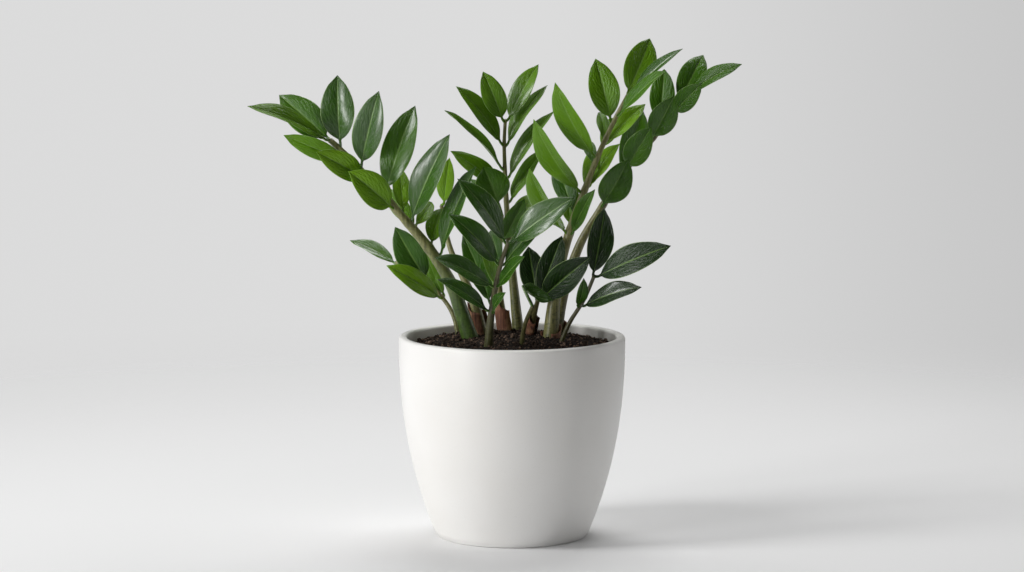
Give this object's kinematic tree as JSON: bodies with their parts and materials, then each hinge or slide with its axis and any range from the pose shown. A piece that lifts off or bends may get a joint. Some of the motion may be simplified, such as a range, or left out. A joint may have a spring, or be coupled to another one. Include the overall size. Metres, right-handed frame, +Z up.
{
  "type": "potted zz plant",
  "caption": "Evergreen house plant with upright fleshy stems and glossy pointed oval leaflets, growing from soil in a round white pot that narrows to a flat base.",
  "frame": {"origin": "centre of the pot's flat underside, on the pot's axis", "axes": "+Z up along the pot's axis; -Y is the front, the side that the picture shows; +X is to the right seen from the front"},
  "size_m": [0.4328, 0.2135, 0.4386],
  "materials": {
    "pot_glaze": "satin",
    "potting_soil": "matte",
    "stem_skin": "satin",
    "leaf_blade": "gloss"
  },
  "bodies": {
    "root": {"leaf_centre_back_1": "leaf_blade", "leaf_centre_right_1": "leaf_blade", "leaf_centre_tall_1": "leaf_blade", "leaf_centre_tall_2": "leaf_blade", "leaf_centre_tall_3": "leaf_blade", "leaf_centre_tall_4": "leaf_blade", "leaf_centre_tall_5": "leaf_blade", "leaf_centre_tall_6": "leaf_blade", "leaf_centre_tall_7": "leaf_blade", "leaf_front_1": "leaf_blade", "leaf_front_2": "leaf_blade", "leaf_front_3": "leaf_blade", "leaf_front_4": "leaf_blade", "leaf_front_5": "leaf_blade", "leaf_front_6": "leaf_blade", "leaf_left_back_1": "leaf_blade", "leaf_left_low_1": "leaf_blade", "leaf_left_low_2": "leaf_blade", "leaf_left_low_3": "leaf_blade", "leaf_left_tall_1": "leaf_blade", "leaf_left_tall_10": "leaf_blade", "leaf_left_tall_2": "leaf_blade", "leaf_left_tall_3": "leaf_blade", "leaf_left_tall_4": "leaf_blade", "leaf_left_tall_5": "leaf_blade", "leaf_left_tall_6": "leaf_blade", "leaf_left_tall_7": "leaf_blade", "leaf_left_tall_8": "leaf_blade", "leaf_left_tall_9": "leaf_blade", "leaf_right_back_1": "leaf_blade", "leaf_right_back_2": "leaf_blade", "leaf_right_back_3": "leaf_blade", "leaf_right_back_4": "leaf_blade", "leaf_right_back_5": "leaf_blade", "leaf_right_low_1": "leaf_blade", "leaf_right_low_2": "leaf_blade", "leaf_right_low_3": "leaf_blade", "leaf_right_tall_1": "leaf_blade", "leaf_right_tall_2": "leaf_blade", "leaf_right_tall_3": "leaf_blade", "leaf_right_tall_4": "leaf_blade", "leaf_right_tall_5": "leaf_blade", "leaf_right_tall_6": "leaf_blade", "leaf_right_tall_7": "leaf_blade", "leaf_right_tall_8": "leaf_blade", "leaf_right_tall_9": "leaf_blade", "leaf_sprout_1": "leaf_blade", "pot": "pot_glaze", "soil": "potting_soil", "stem_centre_back": "stem_skin", "stem_centre_right": "stem_skin", "stem_centre_tall": "stem_skin", "stem_front": "stem_skin", "stem_left_back": "stem_skin", "stem_left_low": "stem_skin", "stem_left_tall": "stem_skin", "stem_right_back": "stem_skin", "stem_right_low": "stem_skin", "stem_right_tall": "stem_skin", "stem_sprout": "stem_skin"}
  },
  "joints": []
}
